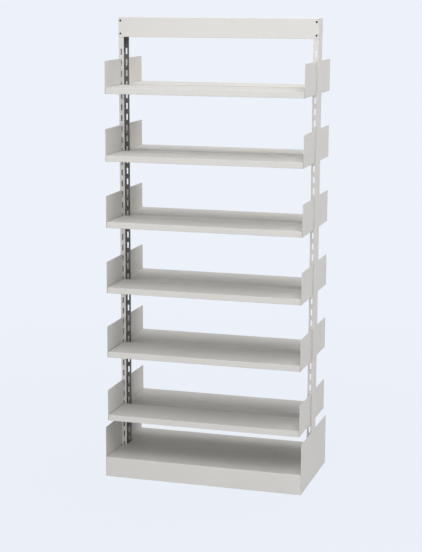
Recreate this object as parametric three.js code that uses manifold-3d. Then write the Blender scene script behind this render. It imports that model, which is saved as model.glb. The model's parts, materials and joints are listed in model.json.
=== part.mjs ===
// Double sided library shelving: slotted posts, hooked brackets, shelf trays and a closed base.
// Millimetres, +Z up, X across the width, Y through the depth, floor at Z = 0.
// The +X, +Y quarter of each piece is drawn and the other quarters are its mirror images.

import * as THREE from 'three';
import { mergeGeometries, mergeVertices } from 'three/addons/utils/BufferGeometryUtils.js';
import Module from 'manifold-3d';

const wasm = await Module();
wasm.setup();

// Overall sizes
const HEIGHT = 2134;
const BRACKET_SPACING = 919;
const SHELF_DEPTH = 510;
const BASE_DEPTH = 516;
const LEVELS = 6;

// Fits
const GAP = 0.3;
const TRAY_CLEAR = 0.6;
const SCREW_CLEAR = 0.4;
const STUD_CLEAR = 0.4;
const NOTCH_CLEAR = 1.0;
const HEAD_CLEAR = 0.8;

// Posts
const POST_DEPTH = 76.2;
const POST_FLANGE = 24.5;
const POST_SHEET = 2;
const PLATE_INSET = 10;

// Slots in the post flanges
const SLOT_SIDE_CLEAR = 2.4;
const SLOT_LIFT_CLEAR = 5;
const SLOT_CORNER = 0.6;
const SLOT_PITCH = 50.8;
const FIRST_SLOT = 33;

// Header over the post heads
const HEADER_HEIGHT = 89;
const HEADER_SHEET = 1.5;
const HEADER_RETURN = 10;

// Screws through the header faces
const SCREW_RADIUS = 2.5;
const SCREW_HEAD_RADIUS = 4.6;
const SCREW_HEAD = 2.4;
const SCREW_RIM = 1.2;
const SCREW_CROWN_RADIUS = 2.8;
const SCREW_REACH = 3;
const SCREW_EDGE = 15;

// Shelf brackets
const BRACKET_HEIGHT = 147;
const BRACKET_SHEET = 2;
const BRACKET_CORNER = 5;
const HOOK_RISE = 12;
const HOOK_NECK = 11;
const HOOK_DROP = 12;
const HOOK_DEPTH = 5;
const HOOK_CHAMFER = 2;
const LEDGE_WIDTH = 14;
const LEDGE_SETBACK = 8;
const TAB_WIDTH = 16;
const TAB_HEIGHT = 10;
const FIRST_SHELF_SLOT = 5;

// Shelf trays
const TRAY_SHEET = 1.2;
const TRAY_LIP = 28;
const LIP_RETURN = 12;
const STOP_HEIGHT = 23;
const STOP_CLEAR = 0.7;

// Base
const DECK_HEIGHT = 97;
const DECK_SHEET = 1.2;
const KICK_CLEAR = 3;
const KICK_RETURN = 12;
const DECK_FLANGE = 14;
const DECK_END_FLANGE = 25;
const BASE_BRACKET_SETBACK = 2;
const BASE_TOP_FLANGE = 20;
const BASE_FOOT_FLANGE = 44;

// End panels
const PANEL_HEIGHT = 239;
const PANEL_SHEET = 1.5;
const STUD_RADIUS = 3;
const STUD_HEAD_RADIUS = 5.5;
const STUD_HEAD = 2;
const STUD_ABOVE_DECK = 25;
const STUD_BELOW_TOP = 37;
const STUD_LIFT = 12;

// Bottom spreader
const SPREADER_CLEAR = 2.7;
const SPREADER_BOTTOM = 30;
const SPREADER_DROP = 3;
const SPREADER_SHEET = 2;

// Levelling glides
const GLIDE_RADIUS = 18;
const GLIDE_PAD = 8;
const GLIDE_PAD_RIM = 4;
const GLIDE_PAD_TOP_RADIUS = 12.6;
const GLIDE_COLLAR = 3.7;
const GLIDE_COLLAR_RADIUS = 9;
const GLIDE_STEM_RADIUS = 5;
const GLIDE_STEM = 42;
const GLIDE_SETBACK = 38;

// Bends in folded sheet
const BEND_INSIDE = 1;
const BEND_STEPS = 2;
const BEND_LAP = 4;

// Facets of round holes and pins
const SMALL_STEPS = 8;
const ROUND_STEPS = 12;

// Places that follow from the sizes
const bracketX = BRACKET_SPACING / 2;
const plateInner = bracketX - BRACKET_SHEET / 2;
const postOuter = bracketX + PLATE_INSET;
const postInner = postOuter - POST_FLANGE;
const webInner = postOuter - POST_SHEET;
const postHalf = POST_DEPTH / 2;
const flangeInner = postHalf - POST_SHEET;
const postTop = HEIGHT - HEADER_SHEET - HEAD_CLEAR;
const headerHalf = postHalf + GAP + HEADER_SHEET;
const headerBottom = HEIGHT - HEADER_HEIGHT;
const shelfHalf = SHELF_DEPTH / 2;
const baseHalf = BASE_DEPTH / 2;
const panelInner = postOuter + GAP;
const panelTop = KICK_CLEAR + PANEL_HEIGHT;
const footHeight = GLIDE_PAD + GLIDE_COLLAR + GAP;
const deckUnder = DECK_HEIGHT - DECK_SHEET;
const slotWidth = BRACKET_SHEET + 2 * SLOT_SIDE_CLEAR;
const slotX = bracketX + GAP - SLOT_SIDE_CLEAR;
const slotHeight = HOOK_NECK + HOOK_DROP + SLOT_LIFT_CLEAR;
const slotRoom = headerBottom - FIRST_SLOT - SLOT_PITCH;
const slotCount = Math.floor(slotRoom / SLOT_PITCH) + 1;
const hookRoom = BRACKET_HEIGHT - HOOK_RISE - HOOK_NECK - GAP;
const hookCount = Math.floor(hookRoom / SLOT_PITCH) + 1;
const shelfStep = Math.floor((slotCount - hookCount - FIRST_SHELF_SLOT) / (LEVELS - 1));

function slotBottom(index) {
  return FIRST_SLOT + index * SLOT_PITCH;
}

function shelfBottom(level) {
  return slotBottom(FIRST_SHELF_SLOT + (level - 1) * shelfStep) - HOOK_RISE;
}

// Outlines

function arcPoints(cx, cy, radius, from, to, steps) {
  const points = [];
  for (let i = 0; i <= steps; i += 1) {
    const angle = from + ((to - from) * i) / steps;
    points.push([cx + radius * Math.cos(angle), cy + radius * Math.sin(angle)]);
  }
  return points;
}

// Outline of a folded strip: its middle line is rounded at each corner, then set off half a sheet each way.
function foldedOutline(path, sheet) {
  const radius = BEND_INSIDE + sheet / 2;
  const left = [];
  const right = [];
  function emit(point, dir) {
    left.push([point[0] - (dir[1] * sheet) / 2, point[1] + (dir[0] * sheet) / 2]);
    right.push([point[0] + (dir[1] * sheet) / 2, point[1] - (dir[0] * sheet) / 2]);
  }
  const dirs = path.slice(1).map((p, i) => {
    const step = [p[0] - path[i][0], p[1] - path[i][1]];
    const length = Math.hypot(step[0], step[1]);
    return [step[0] / length, step[1] / length];
  });
  emit(path[0], dirs[0]);
  for (let i = 1; i < path.length - 1; i += 1) {
    const before = dirs[i - 1];
    const after = dirs[i];
    const turn = Math.sign(before[0] * after[1] - before[1] * after[0]);
    const start = [path[i][0] - before[0] * radius, path[i][1] - before[1] * radius];
    const centre = [start[0] - turn * before[1] * radius, start[1] + turn * before[0] * radius];
    for (let k = 0; k <= BEND_STEPS; k += 1) {
      const angle = (turn * Math.PI * k) / (2 * BEND_STEPS);
      const cos = Math.cos(angle);
      const sin = Math.sin(angle);
      const arm = [start[0] - centre[0], start[1] - centre[1]];
      const point = [centre[0] + arm[0] * cos - arm[1] * sin, centre[1] + arm[0] * sin + arm[1] * cos];
      emit(point, [before[0] * cos - before[1] * sin, before[0] * sin + before[1] * cos]);
    }
  }
  emit(path[path.length - 1], dirs[dirs.length - 1]);
  return left.concat(right.reverse());
}

// Upright slot with small corner cuts, so that a hook sits level against its outer side.
function slotOutline(x, bottom, width, height) {
  const side = width / 2;
  const flat = side - SLOT_CORNER;
  const top = bottom + height;
  return [
    [x - flat, bottom],
    [x + flat, bottom],
    [x + side, bottom + SLOT_CORNER],
    [x + side, top - SLOT_CORNER],
    [x + flat, top],
    [x - flat, top],
    [x - side, top - SLOT_CORNER],
    [x - side, bottom + SLOT_CORNER],
  ];
}

function circleOutline(x, y, radius, steps) {
  const points = arcPoints(x, y, radius, 0, 2 * Math.PI, steps);
  points.pop();
  return points;
}

function boxOutline(u0, u1, v0, v1) {
  return [[u0, v0], [u1, v0], [u1, v1], [u0, v1]];
}

// Solids

function extruded(points, depth) {
  const shape = new THREE.Shape(points.map((p) => new THREE.Vector2(p[0], p[1])));
  return new THREE.ExtrudeGeometry(shape, { depth, bevelEnabled: false, steps: 1 });
}

// Outline in (y, z), run along X.
function alongX(points, from, to) {
  const geometry = extruded(points, to - from);
  const turn = new THREE.Matrix4().set(0, 0, 1, from, 1, 0, 0, 0, 0, 1, 0, 0, 0, 0, 0, 1);
  return geometry.applyMatrix4(turn);
}

// Outline in (x, z), run along Y.
function alongY(points, from, to) {
  const geometry = extruded(points.map((p) => [p[1], p[0]]), to - from);
  const turn = new THREE.Matrix4().set(0, 1, 0, 0, 0, 0, 1, from, 1, 0, 0, 0, 0, 0, 0, 1);
  return geometry.applyMatrix4(turn);
}

// Outline in (x, y), run along Z.
function alongZ(points, from, to) {
  return extruded(points, to - from).translate(0, 0, from);
}

function box(x0, x1, y0, y1, z0, z1) {
  const geometry = new THREE.BoxGeometry(x1 - x0, y1 - y0, z1 - z0);
  return geometry.translate((x0 + x1) / 2, (y0 + y1) / 2, (z0 + z1) / 2);
}

// Turned solid about +Z from (radius, height) points that begin and end on the axis.
function turned(points, steps) {
  const geometry = new THREE.LatheGeometry(points.map((p) => new THREE.Vector2(p[0], p[1])), steps);
  return geometry.rotateX(Math.PI / 2);
}

function bare(geometry) {
  const copy = geometry.index ? geometry.toNonIndexed() : geometry.clone();
  copy.deleteAttribute('normal');
  copy.deleteAttribute('uv');
  return copy;
}

function solid(geometry) {
  const merged = mergeVertices(bare(geometry), 1e-4);
  const mesh = new wasm.Mesh({
    numProp: 3,
    vertProperties: new Float32Array(merged.attributes.position.array),
    triVerts: new Uint32Array(merged.index.array),
  });
  mesh.merge();
  return new wasm.Manifold(mesh);
}

function fromSolid(manifold) {
  const mesh = manifold.getMesh();
  const geometry = new THREE.BufferGeometry();
  geometry.setAttribute('position', new THREE.BufferAttribute(new Float32Array(mesh.vertProperties), 3));
  geometry.setIndex(Array.from(mesh.triVerts));
  return geometry;
}

function joined(list) {
  return list.map(solid).reduce((all, next) => all.add(next));
}

function cutBy(body, cutters) {
  return body.subtract(solid(mergeGeometries(cutters.map(bare))));
}

function mirrored(geometry, sx, sy) {
  const copy = bare(geometry);
  copy.scale(sx, sy, 1);
  if (sx * sy < 0) {
    const position = copy.attributes.position;
    for (let i = 0; i < position.count; i += 3) {
      const a = [position.getX(i), position.getY(i), position.getZ(i)];
      position.setXYZ(i, position.getX(i + 1), position.getY(i + 1), position.getZ(i + 1));
      position.setXYZ(i + 1, a[0], a[1], a[2]);
    }
  }
  const merged = mergeVertices(copy, 1e-4);
  merged.computeVertexNormals();
  return merged;
}

// Looks
const PAINT = { color: 0xdcdad4, roughness: 0.55, metalness: 0.0 };
const BLACKENED = { color: 0x35363a, roughness: 0.5, metalness: 0.7 };
const ZINC = { color: 0x8d9092, roughness: 0.4, metalness: 0.8 };

const group = new THREE.Group();
group.name = 'double_sided_library_shelving';

function place(name, geometry, look, sx, sy, z) {
  const mesh = new THREE.Mesh(mirrored(geometry, sx, sy), new THREE.MeshStandardMaterial(look));
  mesh.name = name;
  mesh.position.set(0, 0, z);
  group.add(mesh);
}

const SIDES = [['left', -1], ['right', 1]];
const FACES = [['front', -1], ['rear', 1]];

// Post: C-section with the web outwards, slotted flanges, screw holes at the head, keyholes in the web
const screwHeights = [headerBottom + SCREW_EDGE, HEIGHT - SCREW_EDGE];
const studHeights = [DECK_HEIGHT + STUD_ABOVE_DECK, panelTop - STUD_BELOW_TOP];

function keyhole(z) {
  const radius = STUD_RADIUS + STUD_CLEAR;
  const wide = STUD_HEAD_RADIUS + STUD_CLEAR;
  const from = webInner - POST_SHEET;
  const to = postOuter + POST_SHEET;
  const neck = alongX(boxOutline(-radius, radius, z, z + STUD_LIFT), from, to);
  const seat = alongX(circleOutline(0, z, radius, SMALL_STEPS), from, to);
  const entry = alongX(circleOutline(0, z + STUD_LIFT, wide, ROUND_STEPS), from, to);
  return joined([neck, seat, entry]);
}

function postGeometry() {
  const middle = POST_SHEET / 2;
  const path = [
    [postInner, -postHalf + middle],
    [postOuter - middle, -postHalf + middle],
    [postOuter - middle, postHalf - middle],
    [postInner, postHalf - middle],
  ];
  const section = alongZ(foldedOutline(path, POST_SHEET), footHeight, postTop);
  const cutters = [];
  for (let i = 0; i < slotCount; i += 1) {
    const slot = slotOutline(slotX, slotBottom(i), slotWidth, slotHeight);
    cutters.push(alongY(slot, -POST_DEPTH, POST_DEPTH));
  }
  for (const z of screwHeights) {
    const hole = circleOutline(bracketX, z, SCREW_RADIUS + SCREW_CLEAR, SMALL_STEPS);
    cutters.push(alongY(hole, -POST_DEPTH, POST_DEPTH));
  }
  let body = cutBy(solid(section), cutters);
  for (const z of studHeights) {
    body = body.subtract(keyhole(z));
  }
  return fromSolid(body);
}

// Header: folded channel over both posts, its lower returns cut away where the posts stand
function headerGeometry() {
  const middle = HEADER_SHEET / 2;
  const face = headerHalf - middle;
  const low = headerBottom + middle;
  const high = HEIGHT - middle;
  const path = [
    [-headerHalf + HEADER_RETURN, low],
    [-face, low],
    [-face, high],
    [face, high],
    [face, low],
    [headerHalf - HEADER_RETURN, low],
  ];
  const channel = alongX(foldedOutline(path, HEADER_SHEET), -postOuter, postOuter);
  const cutters = [];
  const inner = headerHalf - HEADER_SHEET;
  const bottom = headerBottom - HEADER_SHEET;
  const returnTop = headerBottom + HEADER_SHEET + BEND_INSIDE + GAP;
  for (const sign of [-1, 1]) {
    const near = postInner - NOTCH_CLEAR;
    const far = postOuter + NOTCH_CLEAR;
    cutters.push(box(Math.min(sign * near, sign * far), Math.max(sign * near, sign * far),
      -inner, inner, bottom, returnTop));
    for (const z of screwHeights) {
      const hole = circleOutline(sign * bracketX, z, SCREW_RADIUS + SCREW_CLEAR, SMALL_STEPS);
      cutters.push(alongY(hole, -POST_DEPTH, POST_DEPTH));
    }
  }
  return fromSolid(cutBy(solid(channel), cutters));
}

// Screw: pan head against the header face, shank through face and flange, pointing towards -Y
function screwGeometry(z) {
  const shank = GAP + HEADER_SHEET + POST_SHEET + SCREW_REACH;
  const profile = [
    [0, -shank],
    [SCREW_RADIUS, -shank],
    [SCREW_RADIUS, 0],
    [SCREW_HEAD_RADIUS, 0],
    [SCREW_HEAD_RADIUS, SCREW_RIM],
    [SCREW_CROWN_RADIUS, SCREW_HEAD],
    [0, SCREW_HEAD],
  ];
  return turned(profile, SMALL_STEPS).rotateX(-Math.PI / 2).translate(bracketX, headerHalf, z);
}

// Hook outline on the post side of a plate: neck through the slot, tongue behind the flange
function hookPoints(z, plateEdge) {
  const back = flangeInner - GAP;
  const low = z + GAP;
  return [
    [plateEdge, low],
    [back, low],
    [back, low - HOOK_DROP],
    [back - HOOK_DEPTH, low - HOOK_DROP],
    [back - HOOK_DEPTH, low + HOOK_NECK - HOOK_CHAMFER],
    [back - HOOK_DEPTH + HOOK_CHAMFER, low + HOOK_NECK],
    [plateEdge, low + HOOK_NECK],
  ];
}

// Shelf bracket: plate at the outer side of the slots, a hook high and low, a folded ledge, a tray tab
const plateEdge = postHalf + GAP;
const ledgeTop = BRACKET_SHEET;
const ledgeFrom = plateEdge + LEDGE_SETBACK;
const ledgeTo = shelfHalf - LIP_RETURN - 2 * BEND_INSIDE;
const tabMiddle = (ledgeFrom + ledgeTo) / 2;
const trayHalf = plateInner - BEND_INSIDE - TRAY_CLEAR;
const tabOuter = trayHalf - TRAY_SHEET / 2;

function bracketGeometry() {
  const fold = BRACKET_SHEET + 2 * BEND_INSIDE;
  const corner = arcPoints(shelfHalf - BRACKET_CORNER, BRACKET_HEIGHT - BRACKET_CORNER, BRACKET_CORNER,
    0, Math.PI / 2, BEND_STEPS);
  const outline = [
    [plateEdge, 0],
    [ledgeFrom, 0],
    [ledgeFrom, fold],
    [ledgeTo, fold],
    [ledgeTo, 0],
    [shelfHalf, 0],
    ...corner,
    [plateEdge, BRACKET_HEIGHT],
  ];
  for (const i of new Set([hookCount - 1, 0])) {
    outline.push(...hookPoints(HOOK_RISE + i * SLOT_PITCH, plateEdge).reverse());
  }
  const plate = alongX(outline, plateInner, plateInner + BRACKET_SHEET);
  const middle = BRACKET_SHEET / 2;
  const bend = [
    [bracketX, fold + BEND_LAP],
    [bracketX, middle],
    [plateInner + BRACKET_SHEET - LEDGE_WIDTH, middle],
  ];
  const ledge = alongY(foldedOutline(bend, BRACKET_SHEET), ledgeFrom, ledgeTo);
  const tab = box(tabOuter - BRACKET_SHEET, tabOuter, tabMiddle - TAB_WIDTH / 2, tabMiddle + TAB_WIDTH / 2,
    middle, ledgeTop + TAB_HEIGHT);
  return fromSolid(joined([plate, ledge, tab]));
}

// Shelf tray: one folded sheet from the lip return to the upstand, with end flanges that stand on the ledges
const stopInner = postHalf + STOP_CLEAR;

function trayGeometry() {
  const middle = TRAY_SHEET / 2;
  const path = [
    [shelfHalf - LIP_RETURN, middle],
    [shelfHalf - middle, middle],
    [shelfHalf - middle, TRAY_LIP - middle],
    [stopInner + middle, TRAY_LIP - middle],
    [stopInner + middle, TRAY_LIP + STOP_HEIGHT],
  ];
  const sheet = alongX(foldedOutline(path, TRAY_SHEET), -trayHalf, trayHalf);
  const ends = [];
  const notches = [];
  for (const sign of [-1, 1]) {
    const a = sign * trayHalf;
    const b = sign * (trayHalf - TRAY_SHEET);
    const from = stopInner + TRAY_SHEET + BEND_INSIDE;
    const to = shelfHalf - middle;
    ends.push(box(Math.min(a, b), Math.max(a, b), from, to, ledgeTop + GAP, TRAY_LIP - middle));
    const c = sign * (trayHalf + TRAY_CLEAR);
    const d = sign * (trayHalf - TRAY_SHEET - TRAY_CLEAR);
    const side = TAB_WIDTH / 2 + TRAY_CLEAR;
    notches.push(box(Math.min(c, d), Math.max(c, d), tabMiddle - side, tabMiddle + side,
      0, ledgeTop + TAB_HEIGHT + TRAY_CLEAR));
  }
  const body = joined([sheet, ...ends]);
  return fromSolid(cutBy(body, notches));
}

// Base deck: kick plate, deck and middle flange in one fold, notched around the posts
const deckHalf = panelInner - TRAY_CLEAR;

function deckGeometry() {
  const middle = DECK_SHEET / 2;
  const path = [
    [baseHalf - KICK_RETURN, KICK_CLEAR + middle],
    [baseHalf - middle, KICK_CLEAR + middle],
    [baseHalf - middle, DECK_HEIGHT - middle],
    [GAP + middle, DECK_HEIGHT - middle],
    [GAP + middle, DECK_HEIGHT - DECK_FLANGE],
  ];
  const sheet = alongX(foldedOutline(path, DECK_SHEET), -deckHalf, deckHalf);
  const ends = [];
  const notches = [];
  const notchSide = postInner - NOTCH_CLEAR;
  const notchDepth = postHalf + NOTCH_CLEAR;
  for (const sign of [-1, 1]) {
    const a = sign * deckHalf;
    const b = sign * (deckHalf - DECK_SHEET);
    ends.push(box(Math.min(a, b), Math.max(a, b), notchDepth, baseHalf - middle,
      DECK_HEIGHT - DECK_END_FLANGE, DECK_HEIGHT - middle));
    const c = sign * notchSide;
    const d = sign * (deckHalf + NOTCH_CLEAR);
    notches.push(box(Math.min(c, d), Math.max(c, d), -NOTCH_CLEAR, notchDepth, 0, DECK_HEIGHT + NOTCH_CLEAR));
  }
  const body = joined([sheet, ...ends]);
  return fromSolid(cutBy(body, notches));
}

// Base bracket: channel on edge under the deck, hooked in the lowest slots, foot flange drilled for a glide
const baseBracketTop = deckUnder - GAP;
const baseBracketTo = baseHalf - KICK_RETURN - BASE_BRACKET_SETBACK;
const baseHookRoom = baseBracketTop - FIRST_SLOT - HOOK_NECK - GAP;
const baseHookCount = Math.floor(baseHookRoom / SLOT_PITCH) + 1;
const glideX = plateInner + BRACKET_SHEET - BASE_FOOT_FLANGE / 2;
const glideY = baseHalf - GLIDE_SETBACK;

function baseBracketGeometry() {
  const middle = BRACKET_SHEET / 2;
  const outer = plateInner + BRACKET_SHEET;
  const section = [
    [outer - BASE_FOOT_FLANGE, footHeight + middle],
    [bracketX, footHeight + middle],
    [bracketX, baseBracketTop - middle],
    [outer - BASE_TOP_FLANGE, baseBracketTop - middle],
  ];
  const channelFrom = plateEdge + LEDGE_SETBACK;
  const channel = alongY(foldedOutline(section, BRACKET_SHEET), channelFrom, baseBracketTo);
  const fold = BRACKET_SHEET + 2 * BEND_INSIDE;
  const outline = [
    [plateEdge, footHeight],
    [channelFrom, footHeight],
    [channelFrom, footHeight + fold],
    [channelFrom + LEDGE_SETBACK, footHeight + fold],
    [channelFrom + LEDGE_SETBACK, baseBracketTop - fold],
    [channelFrom, baseBracketTop - fold],
    [channelFrom, baseBracketTop],
    [plateEdge, baseBracketTop],
  ];
  for (let i = baseHookCount - 1; i >= 0; i -= 1) {
    outline.push(...hookPoints(slotBottom(i), plateEdge).reverse());
  }
  const plate = alongX(outline, plateInner, outer);
  const hole = alongZ(circleOutline(glideX, glideY, GLIDE_STEM_RADIUS + STUD_CLEAR, ROUND_STEPS),
    0, footHeight + fold);
  return fromSolid(cutBy(joined([channel, plate]), [hole]));
}

// End panel: flat sheet with two headed studs that hang in the keyholes
function panelGeometry() {
  const middle = PANEL_SHEET / 2;
  const pieces = [box(panelInner, panelInner + PANEL_SHEET, -baseHalf, baseHalf, KICK_CLEAR, panelTop)];
  const headFrom = webInner - GAP - STUD_HEAD;
  for (const z of studHeights) {
    pieces.push(alongX(circleOutline(0, z, STUD_RADIUS, SMALL_STEPS), headFrom, panelInner + middle));
    pieces.push(alongX(circleOutline(0, z, STUD_HEAD_RADIUS, ROUND_STEPS), headFrom, headFrom + STUD_HEAD));
  }
  return fromSolid(joined(pieces));
}

// Bottom spreader: inverted channel between the webs of the posts
function spreaderGeometry() {
  const half = flangeInner - GAP - HOOK_DEPTH - SPREADER_CLEAR - SPREADER_SHEET / 2;
  const top = DECK_HEIGHT - DECK_FLANGE - SPREADER_DROP;
  const path = [
    [-half, SPREADER_BOTTOM],
    [-half, top - SPREADER_SHEET / 2],
    [half, top - SPREADER_SHEET / 2],
    [half, SPREADER_BOTTOM],
  ];
  return alongX(foldedOutline(path, SPREADER_SHEET), -webInner + GAP, webInner - GAP);
}

// Levelling glide: pad on the floor, collar under the foot flange, stem up through it
function glideGeometry() {
  const collar = GLIDE_PAD + GLIDE_COLLAR;
  const profile = [
    [0, 0],
    [GLIDE_RADIUS, 0],
    [GLIDE_RADIUS, GLIDE_PAD_RIM],
    [GLIDE_PAD_TOP_RADIUS, GLIDE_PAD],
    [GLIDE_COLLAR_RADIUS, GLIDE_PAD],
    [GLIDE_COLLAR_RADIUS, collar],
    [GLIDE_STEM_RADIUS, collar],
    [GLIDE_STEM_RADIUS, collar + GLIDE_STEM],
    [0, collar + GLIDE_STEM],
  ];
  return turned(profile, ROUND_STEPS).translate(glideX, glideY, 0);
}

// Frame
const post = postGeometry();
for (const [side, sx] of SIDES) {
  place(`${side}_post`, post, PAINT, sx, 1, 0);
}
place('top_header', headerGeometry(), PAINT, 1, 1, 0);
place('bottom_spreader', spreaderGeometry(), PAINT, 1, 1, 0);
const baseBracket = baseBracketGeometry();
for (const [face, sy] of FACES) {
  for (const [side, sx] of SIDES) {
    place(`${face}_${side}_base_bracket`, baseBracket, PAINT, sx, sy, 0);
    place(`${face}_${side}_upper_screw`, screwGeometry(screwHeights[1]), BLACKENED, sx, sy, 0);
    place(`${face}_${side}_lower_screw`, screwGeometry(screwHeights[0]), BLACKENED, sx, sy, 0);
  }
}

// Shelves, level 1 lowest
const bracket = bracketGeometry();
const tray = trayGeometry();
for (let level = 1; level <= LEVELS; level += 1) {
  for (const [face, sy] of FACES) {
    for (const [side, sx] of SIDES) {
      place(`${face}_${side}_bracket_${level}`, bracket, PAINT, sx, sy, shelfBottom(level));
    }
    place(`${face}_tray_${level}`, tray, PAINT, 1, sy, shelfBottom(level));
  }
}

// Base
const deck = deckGeometry();
const glide = glideGeometry();
const panel = panelGeometry();
for (const [face, sy] of FACES) {
  place(`${face}_base_deck`, deck, PAINT, 1, sy, 0);
  for (const [side, sx] of SIDES) {
    place(`${face}_${side}_glide`, glide, ZINC, sx, sy, 0);
  }
}
for (const [side, sx] of SIDES) {
  place(`${side}_end_panel`, panel, PAINT, sx, 1, 0);
}

export default group;
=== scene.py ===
"""Double sided library shelving in folded sheet steel: its pieces, finishes and studio.

Laid out as an add-on and run as a script. Lengths are in metres, +Z is up, X runs across the width and
Y through the depth. Each folded piece is drawn as the middle surface of its sheet for the right-hand,
rear quarter, mirrored to the other quarters, and given its thickness by a modifier.
"""

import json

import bmesh
import bpy
import numpy as np
from bpy.props import FloatProperty, FloatVectorProperty, PointerProperty
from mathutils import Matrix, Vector


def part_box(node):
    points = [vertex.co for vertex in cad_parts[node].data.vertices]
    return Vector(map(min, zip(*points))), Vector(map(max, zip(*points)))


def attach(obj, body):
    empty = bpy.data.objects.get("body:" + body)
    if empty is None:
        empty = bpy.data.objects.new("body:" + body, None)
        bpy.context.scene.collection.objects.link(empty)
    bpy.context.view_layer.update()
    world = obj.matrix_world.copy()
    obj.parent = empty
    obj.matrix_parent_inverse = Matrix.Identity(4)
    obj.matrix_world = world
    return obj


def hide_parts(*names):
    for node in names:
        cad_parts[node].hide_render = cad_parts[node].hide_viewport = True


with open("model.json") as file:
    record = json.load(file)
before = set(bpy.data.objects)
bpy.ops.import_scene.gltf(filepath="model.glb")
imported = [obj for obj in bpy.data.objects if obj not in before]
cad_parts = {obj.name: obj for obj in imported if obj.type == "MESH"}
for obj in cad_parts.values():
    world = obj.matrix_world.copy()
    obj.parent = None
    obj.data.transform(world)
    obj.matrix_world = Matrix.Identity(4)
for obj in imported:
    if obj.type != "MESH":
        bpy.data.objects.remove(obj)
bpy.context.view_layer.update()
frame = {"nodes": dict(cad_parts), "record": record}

bl_info = {
    "name": "Double Sided Library Shelving",
    "version": (1, 0, 0),
    "blender": (4, 5, 0),
    "location": "View3D > Sidebar > Shelving",
    "description": "Folded steel pieces, paint finishes and a studio for a double sided shelving unit",
    "category": "Object",
}

FACES = {"front": -1.0, "rear": 1.0}
SIDES = {"left": -1.0, "right": 1.0}
LEVELS = sum(node.startswith("front_tray_") for node in frame["nodes"])
BODY_OF = {node: body for body, nodes in frame["record"]["behaviour"]["bodies"].items() for node in nodes}

WELD = 1e-6
BEND_STEPS = 6
CORNER_STEPS = 5
TURN_STEPS = 48
HEAD_ROWS = 15
THREAD_STEPS = 5
EDGE_SEGMENTS = 2
EDGE_ANGLE = np.radians(50.0)
PANEL_CELLS = (4, 2)

# Stations of the sheet round a hole, as shares of its margin, and a keyhole's margin in half widths
RING_STATIONS = np.linspace(-1.0, 1.0, 5)
KEYHOLE_MARGIN = 1.5

# Shares of a screw head's radius, then of its height
RECESS_REACH = 0.62
RECESS_WIDTH = 0.2
RECESS_SLOPE = 0.14
RECESS_DEPTH = 0.55
CROWN_FALL = 0.5

# Profiles of a stud's head and of a glide's pad, as shares of their radius and height, from the foot up
STUD_RADII = np.array([0.0, 0.86, 0.97, 1.0, 1.0, 0.97])
STUD_HEIGHTS = np.array([0.0, 0.0, 0.1, 0.25, 0.75, 0.9])
PAD_RADII = np.array([0.0, 0.80, 0.96, 1.0, 1.0, 0.97, 0.80, 0.68, 0.66, 0.0])
PAD_HEIGHTS = np.array([0.0, 0.0, 0.025, 0.1, 0.425, 0.55, 0.7875, 0.925, 1.0, 1.0])

# Chamfer of a glide's collar and tip of its stem, as shares of their radius, and thread depth in pitches
COLLAR_CHAMFER = 0.94
STEM_TIP = 0.8
THREAD_DEPTH = 0.3025

# Sockets of a Mix node that mixes colours
MIX_FACTOR = 0
MIX_FIRST = 6
MIX_SECOND = 7
MIX_RESULT = 2

# Floor, sky and lamps
FLOOR_RADII = np.array([0.0, 3.0, 8.0, 20.0, 60.0])
FLOOR_STEPS = 96
FLOOR_LIT_LEVEL = 0.45
SHADOW_NEAR = 0.6
SHADOW_FAR = 4.0
GLOW_NEAR = 0.96
SKY_COLOUR = (1.0, 0.99, 0.975, 1.0)
SKY_STRENGTH = 0.53
LAMP_TARGET = Vector((0.0, 0.0, 1.1))

# Camera: tilt and turn in degrees, lens and sensor in millimetres, shifts in picture heights
CAMERA_PLACE = (1.9555, -6.7965, 2.3008)
CAMERA_TILT = 11.732
CAMERA_TURN = 17.342
CAMERA_LENS = 100.41
CAMERA_SENSOR = 36.0
CAMERA_SHIFT = (0.0491, 0.0429)
CAMERA_REACH = 500.0


# Sizes and colours

def length(label, words, value):
    """A length in metres that a user can change."""
    return FloatProperty(name=label, description=words, default=value, min=0.0, precision=5, unit="LENGTH")


def tint(label, words, value):
    """A linear colour that a user can change."""
    return FloatVectorProperty(
        name=label, description=words, default=value, size=3, min=0.0, max=1.0, subtype="COLOR")


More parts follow.
